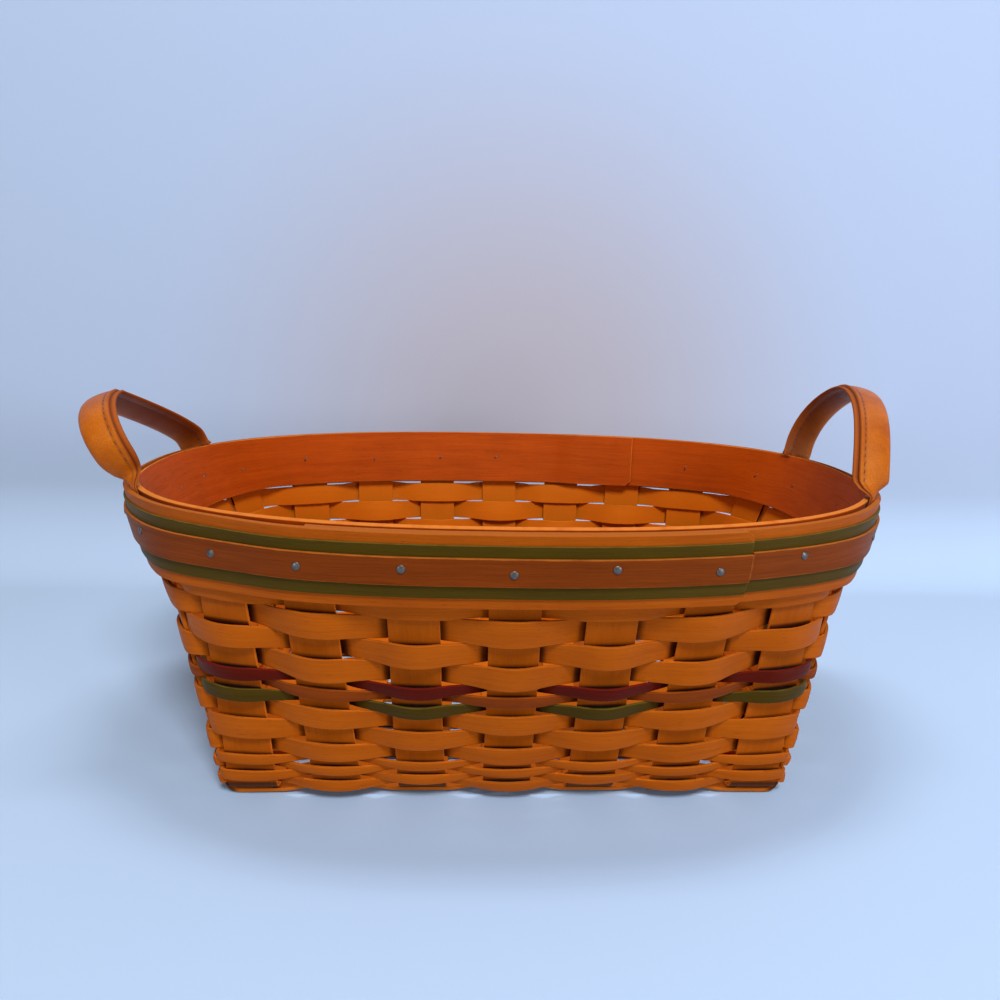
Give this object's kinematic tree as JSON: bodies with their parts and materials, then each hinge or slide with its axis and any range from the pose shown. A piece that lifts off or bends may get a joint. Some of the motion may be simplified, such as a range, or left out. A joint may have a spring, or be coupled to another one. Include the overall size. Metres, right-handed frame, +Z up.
{
  "type": "woven splint basket",
  "caption": "Small oblong woven splint basket with flared sides, a banded rim with coloured trim strips and a folded leather ear at each end, for holding small things on a table.",
  "frame": {"origin": "on the floor under the middle of the overall box", "axes": "+X along the basket towards its right ear, +Y towards the back wall, +Z up"},
  "size_m": [0.2878, 0.1812, 0.1318],
  "materials": {
    "natural_splint": "satin varnished honey splint",
    "rim_splint": "satin varnished honey splint",
    "red_splint": "dark red dyed splint",
    "brown_splint": "brown dyed splint",
    "green_splint": "olive green dyed splint",
    "tan_leather": "smooth tan leather"
  },
  "bodies": {
    "basket": {"upright_cross_1": "natural_splint", "upright_cross_2": "natural_splint", "upright_cross_3": "natural_splint", "upright_cross_4": "natural_splint", "upright_cross_5": "natural_splint", "upright_cross_6": "natural_splint", "upright_cross_7": "natural_splint", "upright_length_1": "natural_splint", "upright_length_2": "natural_splint", "upright_length_3": "natural_splint", "upright_length_4": "natural_splint", "upright_length_5": "natural_splint", "upright_length_6": "natural_splint", "weaver_01_wide": "natural_splint", "weaver_02_wide": "natural_splint", "weaver_03_wide": "natural_splint", "weaver_04_wide": "natural_splint", "weaver_05_red": "red_splint", "weaver_06_accent": "brown_splint", "weaver_07_green": "green_splint", "weaver_08_middle": "natural_splint", "weaver_09_middle": "natural_splint", "weaver_10_middle": "natural_splint", "weaver_11_narrow": "natural_splint", "weaver_12_narrow": "natural_splint", "weaver_13_narrow": "natural_splint", "weaver_14_narrow": "natural_splint", "rim_band_outer": "rim_splint", "rim_trim_green": "green_splint", "rim_trim_accent": "brown_splint", "rim_band_inner": "rim_splint", "ear_right_tab_front": "tan_leather", "ear_right_tab_back": "tan_leather", "ear_left_tab_back": "tan_leather", "ear_left_tab_front": "tan_leather"},
    "right_ear": {"ear_right_loop": "tan_leather"},
    "left_ear": {"ear_left_loop": "tan_leather"}
  },
  "joints": [
    {"name": "right_ear_flex", "type": "hinge", "parent": "basket", "child": "right_ear", "pos_m": [0.1315, 0.00095, 0.101], "axis": [0, 1, 0], "range_deg": [-20, 40], "stiffness_Nm_per_rad": 0.05},
    {"name": "left_ear_flex", "type": "hinge", "parent": "basket", "child": "left_ear", "pos_m": [-0.12126, 0.00095, 0.101], "axis": [0, -1, 0], "range_deg": [-44, 16], "stiffness_Nm_per_rad": 0.05}
  ]
}
